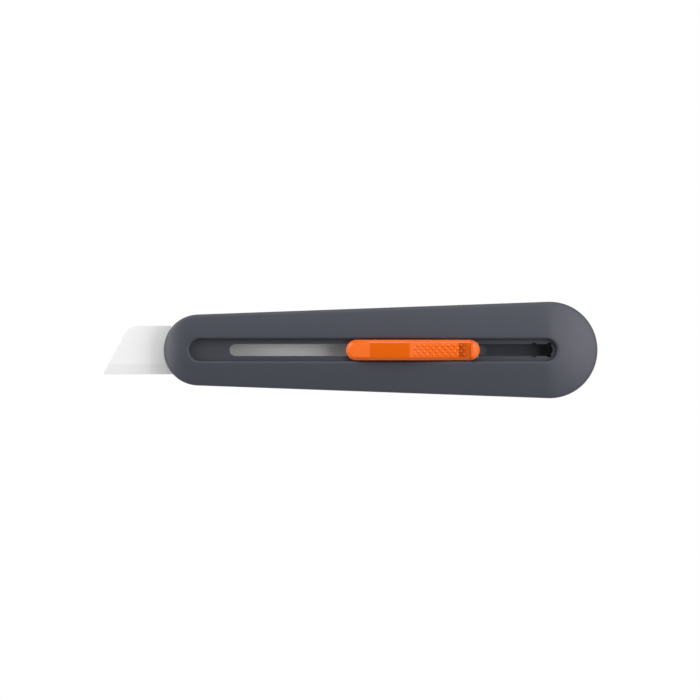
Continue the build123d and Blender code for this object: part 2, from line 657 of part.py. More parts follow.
def button_top(x):
    """Height of the button's grip slope and valley."""
    back = max(GRIP_END - x, 0)
    return VALLEY_Z + GRIP_RADIUS - sqrt(GRIP_RADIUS**2 - back**2)


def slider_button():
    """The thumb slider: ramp, plateau, dotted grip slope, valley and rear lip."""
    grip_middle = (PLATEAU_END + GRIP_END) / 2
    under_rear = UNDER_Z + (BUTTON_REAR - PIVOT_X) * tan(radians(SWING_ANGLE + UNDERSIDE_MORE))
    front_top = Vector(BUTTON_FRONT, BUTTON_FRONT_TOP)
    ramp_end = Vector(RAMP_END, BUTTON_TOP)
    plateau_end = Vector(PLATEAU_END, BUTTON_TOP)
    grip_end = Vector(GRIP_END, VALLEY_Z)
    valley_end = Vector(VALLEY_END, VALLEY_Z)
    lip = Vector(LIP_X, VALLEY_Z + LIP_RISE)
    rear_top = Vector(BUTTON_REAR, VALLEY_Z + LIP_RISE - LIP_FALL)
    rear_low = Vector(BUTTON_REAR, under_rear)
    pivot_low = Vector(PIVOT_X, UNDER_Z)
    front_low = Vector(BUTTON_FRONT, UNDER_Z)
    edges = [
        Line(front_top, ramp_end),
        Line(ramp_end, plateau_end),
        ThreePointArc(plateau_end, (grip_middle, button_top(grip_middle)), grip_end),
        Line(grip_end, valley_end),
        Line(valley_end, lip),
        Line(lip, rear_top),
        Line(rear_top, rear_low),
        Line(rear_low, pivot_low),
        Line(pivot_low, front_low),
        Line(front_low, front_top),
    ]
    side = Plane.XZ * closed(edges)
    flat_half = BUTTON_WIDTH / 2 - BUTTON_CHAMFER
    button = extrude(side, flat_half, dir=(0, 1, 0), both=True)
    for hand in (-1, 1):
        strip = Pos(0, hand * flat_half, 0) * side
        button += extrude(strip, BUTTON_CHAMFER * sqrt(2), dir=(0, hand, -1))
    button &= extrude(side, BUTTON_WIDTH, dir=(0, 1, 0), both=True)
    button &= obround(BUTTON_FRONT, BUTTON_REAR, BUTTON_WIDTH, 0, FAR)
    for row in range(DOT_ROWS):
        y = (row - (DOT_ROWS - 1) / 2) * DOT_ROW_PITCH
        shift = row % 2
        for count in range(DOTS_PER_ROW - shift):
            x = PLATEAU_END + DOT_START + (count + shift / 2) * DOT_PITCH
            button += Pos(x, y, button_top(x) - DOT_SUNK) * Sphere(DOT_RADIUS)
    neck = NECK_WIDTH / 2 + RUN_GAP
    ear = EAR_RADIUS + 2 * RUN_GAP
    button -= box((PIVOT_X - ear, -neck, 0), (PIVOT_X + ear, neck, PIVOT_Z + ear - RUN_GAP))
    button -= rod(SPRING_X, 0, 0, SPRING_TOP, SPRING_RADIUS + 2 * RUN_GAP)
    lock = LOCK_WIDTH / 2 + GAP
    button -= box((LOCK_LOW_X - GAP, -lock, 0), (LOCK_HIGH_X + GAP, lock, LOCK_Z + LOCK_THICK))
    button -= Pos(PIVOT_X, 0, PIVOT_Z) * Rot(90, 0, 0) * Cylinder(PIN_RADIUS + TOUCH, BUTTON_WIDTH + 1)
    for x in LOCK_RIVET_X:
        button -= rod(x, 0, 0, LOCK_Z + LOCK_THICK + RIVET_IN_BUTTON + GAP, RIVET_RADIUS + TOUCH)
    return button


def lock_plate():
    """A stamped plate with two pairs of legs, each ending in a tooth under the track."""
    plate = box((LOCK_LOW_X, -LOCK_WIDTH / 2, LOCK_Z), (LOCK_HIGH_X, LOCK_WIDTH / 2, LOCK_Z + LOCK_THICK))
    half = TOOTH_LENGTH / 2
    foot = TOOTH_TOP - TOOTH_HEIGHT
    for x in TOOTH_X:
        for side in (-1, 1):
            low, high = sorted((side * LEG_IN, side * LEG_OUT))
            plate += box((x - half, low, foot), (x + half, high, LOCK_Z + LOCK_THICK / 2))
            low, high = sorted((side * LEG_IN, side * (SLOT_WIDTH / 2 + TOOTH_OUT)))
            plate += box((x - half, low, foot), (x + half, high, TOOTH_TOP))
    for x in LOCK_RIVET_X:
        plate -= rod(x, 0, 0, FAR, RIVET_RADIUS + TOUCH)
    return plate


def button_spring():
    """A compression spring between the neck and the button, with flat ground ends."""
    height = SPRING_TOP - NECK_TOP
    radius = SPRING_RADIUS - SPRING_WIRE / 2
    path = Helix(height / SPRING_TURNS, height, radius)
    wire = sweep(Plane(path @ 0, z_dir=path % 0) * Circle(SPRING_WIRE / 2), path=path)
    coil = Pos(SPRING_X, 0, NECK_TOP) * wire
    return coil & box((-FAR, -FAR, NECK_TOP + TOUCH), (FAR, FAR, SPRING_TOP - TOUCH))


def lock_rivet(x):
    """Headed under the lock plate and formed into the button."""
    head = rod(x, 0, LOCK_Z - RIVET_HEAD_HEIGHT, LOCK_Z, RIVET_HEAD)
    return head + rod(x, 0, LOCK_Z, LOCK_Z + LOCK_THICK + RIVET_IN_BUTTON, RIVET_RADIUS)


def track_screw(x, y):
    return Pos(x, y, TRACK_Z + TOUCH) * Rot(180, 0, 0) * flat_screw(TRACK_SCREW_LENGTH)


def runner_screw(x):
    return Pos(x, 0, RUNNER_TOP - TOUCH) * flat_screw(RUNNER_SCREW_LENGTH)


def button_pin():
    return Pos(PIVOT_X, 0, PIVOT_Z) * Rot(90, 0, 0) * Cylinder(PIN_RADIUS, BUTTON_WIDTH - 2 * PIN_SUNK)


def group(pieces):
    """Separate solids of one kind, kept together in one node."""
    return Compound([piece.solid() for piece in pieces])


PARTS = {
    "front_shell": front_shell(),
    "rear_shell": rear_shell(),
    "handle_screws": group([handle_screw(*place) for place in SCREW_PLACES]),
    "screw_inserts": group([insert(x, y) for x, y, seat in SCREW_PLACES]),
    "slide_track": slide_track(),
    "track_screws": group([track_screw(x, y) for x, y in track_screw_places()]),
    "blade_runner": blade_runner(),
    "runner_screws": group([runner_screw(x) for x in RUNNER_SCREW_X]),
    "stop_bumpers": group(stop_bumpers()),
    "blade": blade(),
    "blade_sled": blade_sled(),
    "blade_clip": blade_clip(),
    "clip_rivets": group([rivet(x, y, SLED_Z + GAP, BASE_TOP) for x, y in clip_rivet_places()]),
    "slider_button": slider_button(),
    "lock_plate": lock_plate(),
    "lock_rivets": group([lock_rivet(x) for x in LOCK_RIVET_X]),
    "button_pin": button_pin(),
    "button_spring": button_spring(),
}
os.makedirs("parts", exist_ok=True)
for name, shape in PARTS.items():
    export_step(shape, f"parts/{name}.step")
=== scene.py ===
"""A utility knife: a moulded handle, a ceramic blade on a sliding sled, and its thumb button."""

import math

import bmesh
import bpy
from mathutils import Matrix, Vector


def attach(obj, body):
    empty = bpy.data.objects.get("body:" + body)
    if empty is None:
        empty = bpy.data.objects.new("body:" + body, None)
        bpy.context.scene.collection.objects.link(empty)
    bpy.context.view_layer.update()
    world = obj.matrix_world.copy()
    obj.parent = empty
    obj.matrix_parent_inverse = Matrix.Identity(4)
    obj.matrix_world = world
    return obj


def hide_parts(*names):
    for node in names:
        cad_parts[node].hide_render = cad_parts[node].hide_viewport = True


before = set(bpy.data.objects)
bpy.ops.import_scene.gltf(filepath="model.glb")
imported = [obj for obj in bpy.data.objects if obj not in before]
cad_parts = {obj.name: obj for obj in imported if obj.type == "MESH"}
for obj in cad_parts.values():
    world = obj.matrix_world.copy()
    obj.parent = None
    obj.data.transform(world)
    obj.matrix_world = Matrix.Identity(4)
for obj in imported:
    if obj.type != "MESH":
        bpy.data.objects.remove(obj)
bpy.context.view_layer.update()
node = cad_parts

# Camera and table. The knife lies on its back on a pale lit table, and the camera
# looks straight down on it from well above, so that its sides don't show.
CAMERA_HEIGHT, CAMERA_REACH = 1.6, 10
VIEW_WIDTH, VIEW_LEVEL = 0.266, 0.015
camera = bpy.data.objects.new("camera", bpy.data.cameras.new("camera"))
bpy.context.scene.collection.objects.link(camera)
camera.location = (0, 0, CAMERA_HEIGHT)
camera.data.lens = camera.data.sensor_width * (CAMERA_HEIGHT - VIEW_LEVEL) / VIEW_WIDTH
camera.data.clip_end = CAMERA_REACH
bpy.context.scene.camera = camera
bpy.context.scene.view_settings.view_transform = "Standard"

TABLE_SIZE, TABLE_SINK = 6, 0.0004
bpy.ops.object.select_all(action="DESELECT")
bpy.ops.mesh.primitive_plane_add(size=TABLE_SIZE, location=(0, 0, -TABLE_SINK))
table = bpy.context.object
table.name = "table"
table_white = bpy.data.materials.new("lit_table")
table_white.use_nodes = True
table_shader = table_white.node_tree.nodes["Principled BSDF"]
table_shader.inputs["Base Color"].default_value = (0, 0, 0, 1)
table_shader.inputs["Specular IOR Level"].default_value = 0
table_shader.inputs["Emission Color"].default_value = (1, 1, 1, 1)
table_shader.inputs["Emission Strength"].default_value = 1.0
table.data.materials.append(table_white)

# Light. A white tent that is open overhead, and three soft panels low down
# beyond the pommel, beyond the nose and along the upper side.
TENT_LEVEL = 0.60
TENT_FADES, TENT_ENDS = 0.86, 0.985
room = bpy.data.worlds.new("room")
bpy.context.scene.world = room
room.use_nodes = True
sky = room.node_tree
sky.nodes.clear()
place = sky.nodes.new("ShaderNodeTexCoord")
axes = sky.nodes.new("ShaderNodeSeparateXYZ")
sky.links.new(place.outputs["Generated"], axes.inputs[0])
height = sky.nodes.new("ShaderNodeMapRange")
height.interpolation_type = "SMOOTHSTEP"
height.inputs["From Min"].default_value = TENT_FADES
height.inputs["From Max"].default_value = TENT_ENDS
height.inputs["To Min"].default_value = TENT_LEVEL
height.inputs["To Max"].default_value = 0.0
sky.links.new(axes.outputs["Z"], height.inputs["Value"])
walls = sky.nodes.new("ShaderNodeBackground")
sky.links.new(height.outputs["Result"], walls.inputs["Strength"])
seen = sky.nodes.new("ShaderNodeBackground")
ray = sky.nodes.new("ShaderNodeLightPath")
either = sky.nodes.new("ShaderNodeMixShader")
sky.links.new(ray.outputs["Is Camera Ray"], either.inputs[0])
sky.links.new(walls.outputs[0], either.inputs[1])
sky.links.new(seen.outputs[0], either.inputs[2])
out = sky.nodes.new("ShaderNodeOutputWorld")
sky.links.new(either.outputs[0], out.inputs["Surface"])

# Each panel's name, place, what it faces, width, height and power.
PANELS = (
    ("right_panel", (0.45, 0.08, 0.36), (0.0, 0, 0.015), 0.44, 0.34, 2.3),
    ("left_panel", (-0.50, 0.14, 0.18), (-0.05, 0, 0.015), 0.44, 0.30, 2.1),
    ("upper_panel", (0.05, 0.50, 0.32), (0.0, 0, 0.015), 0.60, 0.20, 1.3),
)
for panel_name, spot, target, wide, tall, watts in PANELS:
    lamp = bpy.data.lights.new(panel_name, "AREA")
    lamp.shape = "RECTANGLE"
    lamp.size = wide
    lamp.size_y = tall
    lamp.energy = watts
    panel = bpy.data.objects.new(panel_name, lamp)
    bpy.context.scene.collection.objects.link(panel)
    panel.location = spot
    panel.rotation_euler = (Vector(spot) - Vector(target)).to_track_quat("Z", "Y").to_euler()

# Handle shells. Two halves moulded in slate glass-filled nylon with a fine spark
# texture, closed on a seam round the waist and held by five screws from the back.
# Each is drawn as rings round the plan that run over its outside and back inside.
MM = 0.001


def rgb(red, green, blue):
    return (red, green, blue, 1)


class Value:
    """A number that changes over a surface. Its sums and products become Math nodes."""

    def __init__(self, finish, socket):
        self.finish = finish
        self.socket = socket

    def __add__(self, other):
        return self.finish.add("ShaderNodeMath", {"operation": "ADD"}, {0: self, 1: other})

    def __mul__(self, other):
        return self.finish.add("ShaderNodeMath", {"operation": "MULTIPLY"}, {0: self, 1: other})

    __radd__ = __add__
    __rmul__ = __mul__


class Finish:
    """One material: its surface shader, and the nodes that vary it over a piece."""

    def __init__(self, name, **fixed):
        self.material = bpy.data.materials.new(name)
        self.material.use_nodes = True
        self.nodes = self.material.node_tree.nodes
        self.links = self.material.node_tree.links
        self.shader = self.nodes["Principled BSDF"]
        for socket, value in fixed.items():
            self.shader.inputs[socket.replace("_", " ")].default_value = value
        self.where = self.add("ShaderNodeTexCoord", {}, {}, "Object")

    def put(self, socket, value):
        """Links a value to a socket, or sets a plain number or colour on it."""
        if isinstance(value, Value):
            self.links.new(value.socket, socket)
        else:
            socket.default_value = value

    def add(self, kind, settings, sockets, output=0):
        """Adds any node, with its settings and its sockets' values, and gives one output."""
        made = self.nodes.new(kind)
        for setting, value in settings.items():
            setattr(made, setting, value)
        for socket, value in sockets.items():
            self.put(made.inputs[socket], value)
        return Value(self, made.outputs[output])

    def set(self, socket, value):
        self.put(self.shader.inputs[socket], value)

    def noise(self, scale, detail=2.0, stretch=(1, 1, 1)):
        spot = self.add("ShaderNodeMapping", {}, {"Vector": self.where, "Scale": stretch})
        sockets = {"Vector": spot, "Scale": scale, "Detail": detail}
        return self.add("ShaderNodeTexNoise", {}, sockets)

    def blend(self, factor, low, high):
        both = {"Factor": factor, 6: low, 7: high}
        return self.add("ShaderNodeMix", {"data_type": "RGBA"}, both, 2)

    def tones(self, scale, dark, pale):
        """Clouds of a dark and a pale tone."""
        self.set("Base Color", self.blend(self.noise(scale, 3), dark, pale))

    def rough(self, least, spread, scale, detail=2.0, stretch=(1, 1, 1)):
        """A roughness that wanders by a spread above its least."""
        self.set("Roughness", least + spread * self.noise(scale, detail, stretch))

    def relief(self, height, strength, depth):
        """Lifts the surface by a height, to a depth in millimetres."""
        bump = {"Height": height, "Strength": strength, "Distance": MM * depth}
        self.set("Normal", self.add("ShaderNodeBump", {}, bump))

    def grain(self, scale, strength, depth):
        """A moulded or plated grain."""
        self.relief(self.noise(scale), strength, depth)


slate = Finish("slate_nylon", IOR=1.5)
slate.tones(70, rgb(0.0415, 0.0445, 0.0600), rgb(0.0460, 0.0490, 0.0665))
slate.rough(0.44, 0.16, 900)
slate.grain(2600, 0.35, 0.04)

SEAM, THICK = 9.6, 20.0
NOSE_CENTRE, NOSE_ROUND = -57.3, 13.5
POMMEL_CENTRE, POMMEL_ROUND = 75.85, 18.35
CROWN, LAND = 64.0, 0.5
WALL, WALL_EASE = 2.4, 1.2
EDGE, RIM, SEAM_EASE = 1.0, 0.85, 0.12
EASE_NOSE, EASE_FALL = 1.5, 2.5
NOSE_ROLL_FROM, NOSE_ROLL_LONG, NOSE_ROLL_DEEP = -60.4, 10.9, 6.0
FALL_FROM, FALL_LONG, FALL_DROP, FALL_BEND = 74.5, 19.7, 6.4, math.radians(8)
OPENING_FRONT, OPENING_REAR, OPENING_ROUND, OPENING_FLOOR = -61.0, 78.5, 4.2, 17.4
TRACK_SEAT, HAIR = 3.9, 1e-6
SPINE_FRONT, SPINE_REAR = 0.001, 0.0011
ARC_STEPS, SIDE_STEPS, FACE_STEPS, EDGE_STEPS, RIM_STEPS = 56, 64, 16, 6, 5
STATIONS = 2 * (ARC_STEPS + SIDE_STEPS)
MERGE, DISSOLVE = 0.002, 0.001

fall_chord = math.hypot(FALL_LONG, FALL_DROP)
fall_turn = math.asin(FALL_DROP / fall_chord) - FALL_BEND
fall_radius = fall_chord / (2 * math.sin(fall_turn))
fall_x = FALL_FROM - fall_radius * math.sin(FALL_BEND)
fall_z = THICK - fall_radius * math.cos(FALL_BEND)


def outline(station, front, front_round, rear, rear_round):
    """A point on the line round two circles and their tangents, at a whole-numbered station."""
    lean = math.asin((rear_round - front_round) / (rear - front))
    side = math.pi / 2 + lean
    flip = 1
    if station > STATIONS / 2:
        station = STATIONS - station
        flip = -1
    half_nose = ARC_STEPS / 2
    if station <= half_nose:
        turn = math.pi - (math.pi - side) * station / half_nose
        return front + front_round * math.cos(turn), flip * front_round * math.sin(turn)
    if station < half_nose + SIDE_STEPS:
        part = (station - half_nose) / SIDE_STEPS
        circles = ((front, front_round), (rear, rear_round))
        ends = [(c + r * math.cos(side), r * math.sin(side)) for c, r in circles]
        x, y = (a + (b - a) * part for a, b in zip(*ends))
        return x, flip * y
    turn = side * (1 - (station - half_nose - SIDE_STEPS) / half_nose)
    return rear + rear_round * math.cos(turn), flip * rear_round * math.sin(turn)


def handle_line(station, inset):
    """The handle's outline, drawn in by an inset."""
    front, rear = NOSE_ROUND - inset, POMMEL_ROUND - inset
    return outline(station, NOSE_CENTRE, front, POMMEL_CENTRE, rear)


def opening_line(station, inset):
    """The outline of the long opening in the face, drawn out by an inset."""
    reach = OPENING_ROUND + inset
    front, rear = OPENING_FRONT + OPENING_ROUND, OPENING_REAR - OPENING_ROUND
    return outline(station, front, reach, rear, reach + HAIR)


def past(distance, ease):
    """How far past a line, starting gently over an ease each side of it."""
    if distance <= -ease:
        return 0
    if distance < ease:
        return (distance + ease) ** 2 / (4 * ease)
    return distance


def face_fall(x, y, crown_top):
    """How high the face stands: crowned across, rolled at the nose, falling to the pommel."""
    crown = crown_top - CROWN + math.sqrt(CROWN**2 - y**2)
    nose = past(NOSE_ROLL_FROM - x, EASE_NOSE) / NOSE_ROLL_LONG
    nose_drop = NOSE_ROLL_DEEP * (1 - math.sqrt(1 - min(nose, 1) ** 2))
    out_x = FALL_FROM - fall_x + past(x - FALL_FROM, EASE_FALL)
    pommel_drop = THICK - fall_z - math.sqrt(fall_radius**2 - out_x**2)
    return crown - nose_drop - pommel_drop


def face(x, y):
    return face_fall(x, y, THICK)


def back(x, y):
    """The back is the face turned over, with a flat land to lie on."""
    return max(THICK - face_fall(x, y, THICK + LAND), 0)


def rings_to_mesh(name, rings):
    """A closed skin through rings of points that all have the same stations."""
    bpy.ops.object.select_all(action="DESELECT")
    bpy.ops.mesh.primitive_grid_add(x_subdivisions=len(rings), y_subdivisions=STATIONS, size=1)
    skin = bpy.context.object
    skin.name = skin.data.name = name
    for vertex in skin.data.vertices:
        ring = round((vertex.co.x + 0.5) * len(rings))
        station = round((vertex.co.y + 0.5) * STATIONS)
        vertex.co = [MM * value for value in rings[ring % len(rings)][station % STATIONS]]
    bpy.ops.object.mode_set(mode="EDIT")
    bpy.ops.mesh.select_all(action="SELECT")
    bpy.ops.mesh.remove_doubles(threshold=MM * MERGE)
    bpy.ops.mesh.dissolve_degenerate(threshold=MM * DISSOLVE)
    bpy.ops.mesh.normals_make_consistent(inside=False)
    bpy.ops.object.mode_set(mode="OBJECT")
    return skin


def ring(line, inset, height):
    """One ring: a line at an inset, with each point's height from a function."""
    points = [line(station, inset) for station in range(STATIONS)]
    return [(x, y, height(x, y)) for x, y in points]


def quarter(steps):
    """Sine and cosine pairs over a quarter turn."""
    turns = [math.pi / 2 * step / steps for step in range(steps + 1)]
    return [(math.sin(turn), math.cos(turn)) for turn in turns]


def between(low_ring, high_ring, part, height):
    """A ring part of the way from one ring to another, in plan."""
    pairs = zip(low_ring, high_ring)
    points = [(a[0] + (b[0] - a[0]) * part, a[1] + (b[1] - a[1]) * part) for a, b in pairs]
    return [(x, y, height(x, y)) for x, y in points]


def outer_rings(toward):
    """Rings from the seam up, or down, the side wall and round the long edge."""
    sign = 1 if toward is face else -1
    rings = [
        ring(handle_line, SEAM_EASE, lambda x, y: SEAM),
        ring(handle_line, 0, lambda x, y: SEAM + sign * SEAM_EASE),
    ]
    for sine, cosine in quarter(EDGE_STEPS):
        drop = sign * EDGE * (1 - sine)
        inset = EDGE * (1 - cosine)
        rings.append(ring(handle_line, inset, lambda x, y, drop=drop: toward(x, y) - drop))
    return rings


def inner_rings(toward, ceiling):
    """Rings down the inside of the wall, back to the seam."""
    drop = WALL_EASE if toward is face else -WALL_EASE
    return [
        ring(handle_line, WALL + WALL_EASE, ceiling),
        ring(handle_line, WALL, lambda x, y: ceiling(x, y) - drop),
        ring(handle_line, WALL, lambda x, y: SEAM),
    ]


face_rings = outer_rings(face)
rim_top = ring(opening_line, RIM, face)
edge_top = face_rings[-1]
for step in range(1, FACE_STEPS):
    face_rings.append(between(edge_top, rim_top, step / FACE_STEPS, face))
for sine, cosine in quarter(RIM_STEPS):
    drop = RIM * (1 - cosine)
    inset = RIM * (1 - sine)
    face_rings.append(ring(opening_line, inset, lambda x, y, drop=drop: face(x, y) - drop))
face_rings.append(ring(opening_line, 0, lambda x, y: OPENING_FLOOR))
face_rings.append(ring(opening_line, TRACK_SEAT, lambda x, y: OPENING_FLOOR))
face_rings += inner_rings(face, lambda x, y: min(face(x, y) - WALL, OPENING_FLOOR))
front_skin = rings_to_mesh("front_skin", face_rings)


def spine_line(station, inset):
    """A hair-thin line down the middle of the back, where its rings close."""
    return outline(station, NOSE_CENTRE, SPINE_FRONT, POMMEL_CENTRE, SPINE_REAR)


back_rings = outer_rings(back)
edge_low = back_rings[-1]
spine = ring(spine_line, 0, back)
for step in range(1, FACE_STEPS):
    back_rings.append(between(edge_low, spine, step / FACE_STEPS, back))
back_rings.append(spine)
back_rings.append([(x, y, WALL) for x, y, z in spine])
back_rings += inner_rings(back, lambda x, y: back(x, y) + WALL)
rear_skin = rings_to_mesh("rear_skin", back_rings)


def pick(piece):
    """Selects one piece and nothing else."""
    bpy.ops.object.select_all(action="DESELECT")
    bpy.context.view_layer.objects.active = piece
    piece.select_set(True)


def shape(piece, kind, **settings):
    """Adds one modifier to a piece and applies it."""
    pick(piece)
    modifier = piece.modifiers.new(kind, kind)
    for setting, value in settings.items():
        setattr(modifier, setting, value)
    bpy.ops.object.modifier_apply(modifier=modifier.name)


def cut(piece, tool):
    """Takes one solid away from a piece and throws the tool away."""
    shape(piece, "BOOLEAN", object=tool, solver="EXACT")
    bpy.data.objects.remove(tool)


def block(low, high):
    """A plain block to cut with, between two corners in millimetres."""
    middle = [MM * (a + b) / 2 for a, b in zip(low, high)]
    bpy.ops.mesh.primitive_cube_add(size=1, location=middle)
    bpy.context.object.scale = [MM * (b - a) for a, b in zip(low, high)]
    bpy.ops.object.transform_apply(location=False, rotation=False, scale=True)
    return bpy.context.object


def rod(x, y, low, high, radius, sides):
    """A plain upright rod to cut with, in millimetres."""
    at = (MM * x, MM * y, MM * (low + high) / 2)
    size = {"radius": MM * radius, "depth": MM * (high - low)}
    bpy.ops.mesh.primitive_cylinder_add(vertices=sides, location=at, **size)
    return bpy.context.object


def dress(piece, finish, degrees):
    """Gives a new piece its finish, and smooth shading but at edges sharper than an angle."""
    piece.data.materials.clear()
    piece.data.materials.append(finish.material)
    pick(piece)
    bpy.ops.object.shade_smooth_by_angle(angle=math.radians(degrees))


# The blade's mouth through the nose, and the five screw wells in the back.
MOUTH_FRONT, MOUTH_REAR, MOUTH_HALF, MOUTH_LOW, MOUTH_TOP = -73.0, -59.0, 9.6, 8.6, 11.3
cut(front_skin, block((MOUTH_FRONT, -MOUTH_HALF, MOUTH_LOW), (MOUTH_REAR, MOUTH_HALF, MOUTH_TOP)))

WELL_ROUND, WELL_SIDES, WELL_LOW, WELL_IN = 1.8, 48, -2, 2.85
SIDE_SEAT, END_SEAT, SHELL_CREASE = 2.6, 4.9, 40
# Each well's place along the handle, and the side that it lies on.
WELLS = ((-30.0, 1), (-30.0, -1), (22.0, 1), (22.0, -1), (85.5, 0))
lean = math.asin((POMMEL_ROUND - NOSE_ROUND) / (POMMEL_CENTRE - NOSE_CENTRE))
for x, hand in WELLS:
    half = NOSE_ROUND / math.cos(lean) + (x - NOSE_CENTRE) * math.tan(lean) - WELL_IN
    seat = SIDE_SEAT if hand else END_SEAT
    cut(rear_skin, rod(x, hand * half, WELL_LOW, seat, WELL_ROUND, WELL_SIDES))

for skin, shell in ((front_skin, "front_shell"), (rear_skin, "rear_shell")):
    dress(skin, slate, SHELL_CREASE)
    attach(skin, "handle")
    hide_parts(shell)

# Slide track. A glass-filled nylon strip screwed up under the front shell, moulded
# with a narrow slot and the pockets that the button's lock teeth rise into.


def coat(piece, finish):
    """Gives every slot of a piece the one finish."""
    for place in piece.material_slots:
        place.material = finish.material


track_nylon_painted_shade = Finish("track_nylon_painted_shade", IOR=1.5)
# Its tone is set darker than the shell's: painted shade for the floor of the opening.
track_nylon_painted_shade.tones(90, rgb(0.0345, 0.0370, 0.0490), rgb(0.0395, 0.0430, 0.0555))
track_nylon_painted_shade.rough(0.50, 0.14, 800)
track_nylon_painted_shade.grain(2400, 0.3, 0.04)
coat(node["slide_track"], track_nylon_painted_shade)

# Blade. Zirconia, pressed and fired white, ground to a bevel along its cutting
# edge, and held on the sled by the clip.
zirconia = Finish("zirconia", IOR=1.7)
zirconia.tones(120, rgb(0.83, 0.83, 0.83), rgb(0.86, 0.86, 0.86))
grinding = zirconia.noise(900, 2, (0.04, 1, 1))
zirconia.set("Roughness", 0.30 + 0.16 * grinding)
zirconia.relief(grinding, 0.15, 0.02)

BLADE_MERGE, BLADE_FLAT, BLADE_EASE, BLADE_SHARP, BLADE_CREASE = 0.003, 0.6, 0.05, 12, 5
bpy.ops.object.select_all(action="DESELECT")
blade = bpy.data.objects.new("ceramic_blade", node["blade"].data.copy())
bpy.context.scene.collection.objects.link(blade)
pick(blade)
bpy.ops.object.mode_set(mode="EDIT")
bpy.ops.mesh.customdata_custom_splitnormals_clear()
bpy.ops.mesh.select_all(action="SELECT")
bpy.ops.mesh.remove_doubles(threshold=MM * BLADE_MERGE)
bpy.ops.mesh.dissolve_limited(angle_limit=math.radians(BLADE_FLAT))
bpy.ops.object.mode_set(mode="OBJECT")
eased = {"width": MM * BLADE_EASE, "segments": 2, "limit_method": "ANGLE"}
shape(blade, "BEVEL", angle_limit=math.radians(BLADE_SHARP), **eased)
dress(blade, zirconia, BLADE_CREASE)
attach(blade, "carriage")
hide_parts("blade")

# Blade sled. Blue-grey acetal, moulded in one piece, that carries the blade under
# it and the button on the ear of its neck.
acetal = Finish("sled_acetal", IOR=1.48)
acetal.tones(150, rgb(0.058, 0.064, 0.080), rgb(0.070, 0.076, 0.094))
acetal.rough(0.34, 0.12, 700)
acetal.grain(1800, 0.2, 0.03)
coat(node["blade_sled"], acetal)

# Runner. A self-oiling slate acetal rail that the blade glides on, screwed into
# the rear shell with two flat-headed screws.
runner_acetal = Finish("runner_acetal", IOR=1.48)
runner_acetal.tones(150, rgb(0.072, 0.078, 0.098), rgb(0.086, 0.092, 0.114))
runner_acetal.rough(0.30, 0.14, 700)
coat(node["blade_runner"], runner_acetal)

# Stop bumpers. Two moulded black rubber blocks, one pressed in at each end of the
# sled's travel.
rubber = Finish("bumper_rubber", IOR=1.52)
rubber.tones(400, rgb(0.016, 0.016, 0.017), rgb(0.026, 0.026, 0.027))
rubber.rough(0.66, 0.2, 1500)
rubber.grain(3000, 0.3, 0.05)
coat(node["stop_bumpers"], rubber)

# Handle and track screws. Steel with a drive recess, turned and then plated with
# zinc.
zinc = Finish("plated_screw_steel", Metallic=1.0)
zinc.tones(500, rgb(0.50, 0.51, 0.53), rgb(0.66, 0.67, 0.68))
zinc.rough(0.24, 0.18, 1400, 3)
zinc.grain(3000, 0.12, 0.02)
for screws in ("handle_screws", "track_screws"):
    coat(node[screws], zinc)

# Runner screws. Two flat-headed steel screws, dip-coated slate so that they don't
# show through the slot.
dipped = Finish("dipped_screw_steel", IOR=1.5)
dipped.tones(500, rgb(0.072, 0.078, 0.098), rgb(0.092, 0.098, 0.120))
dipped.rough(0.42, 0.18, 1400, 3)
coat(node["runner_screws"], dipped)

# Inserts. Brass, turned with a groove round the middle and pressed hot into the
# front shell, for the handle screws to run into.
brass = Finish("insert_brass", Metallic=1.0)
brass.tones(300, rgb(0.70, 0.47, 0.18), rgb(0.80, 0.58, 0.26))
brass.rough(0.26, 0.16, 1200)
coat(node["screw_inserts"], brass)

# Blade clip, lock plate and return spring. Rolled spring steel, the first two
# stamped and riveted on, the spring coiled and stood on the sled's neck.
spring_steel = Finish("spring_steel", Metallic=1.0)
spring_steel.tones(250, rgb(0.36, 0.37, 0.39), rgb(0.50, 0.51, 0.53))
spring_steel.rough(0.28, 0.2, 1100, 3, (0.1, 1, 1))
for sprung in ("blade_clip", "lock_plate", "button_spring"):
    coat(node[sprung], spring_steel)

# Rivets and the button's pivot pin. Drawn steel, the rivets headed cold and the
# pin ground, all left bright.
bright_steel = Finish("bright_steel", Metallic=1.0)
bright_steel.tones(400, rgb(0.58, 0.58, 0.58), rgb(0.70, 0.70, 0.70))
bright_steel.rough(0.20, 0.16, 1500, 3)
for turned in ("clip_rivets", "lock_rivets", "button_pin"):
    coat(node[turned], bright_steel)

# Thumb button. Orange satin nylon, moulded with a ramp, a flat pad and a dished
# grip of round pips that ends in a low lip, and hung on the pivot pin. Its slopes
# carry a painted highlight, paler than the pad, and the hollow before the lip a painted shade.
orange = Finish("orange_nylon", IOR=1.5, Specular_IOR_Level=0.38)
split = ("ShaderNodeSeparateXYZ", {}, {"Vector": orange.where})
along_x, across, up = (orange.add(*split, axis) for axis in range(3))


def fade(value, first, last):
    """0 before first and 1 past last, in millimetres, whichever of them is the greater."""
    sockets = {"Value": value, "From Min": MM * min(first, last), "From Max": MM * max(first, last)}
    sockets |= {"To Min": float(first > last), "To Max": float(first < last)}
    return orange.add("ShaderNodeMapRange", {"interpolation_type": "SMOOTHSTEP"}, sockets)
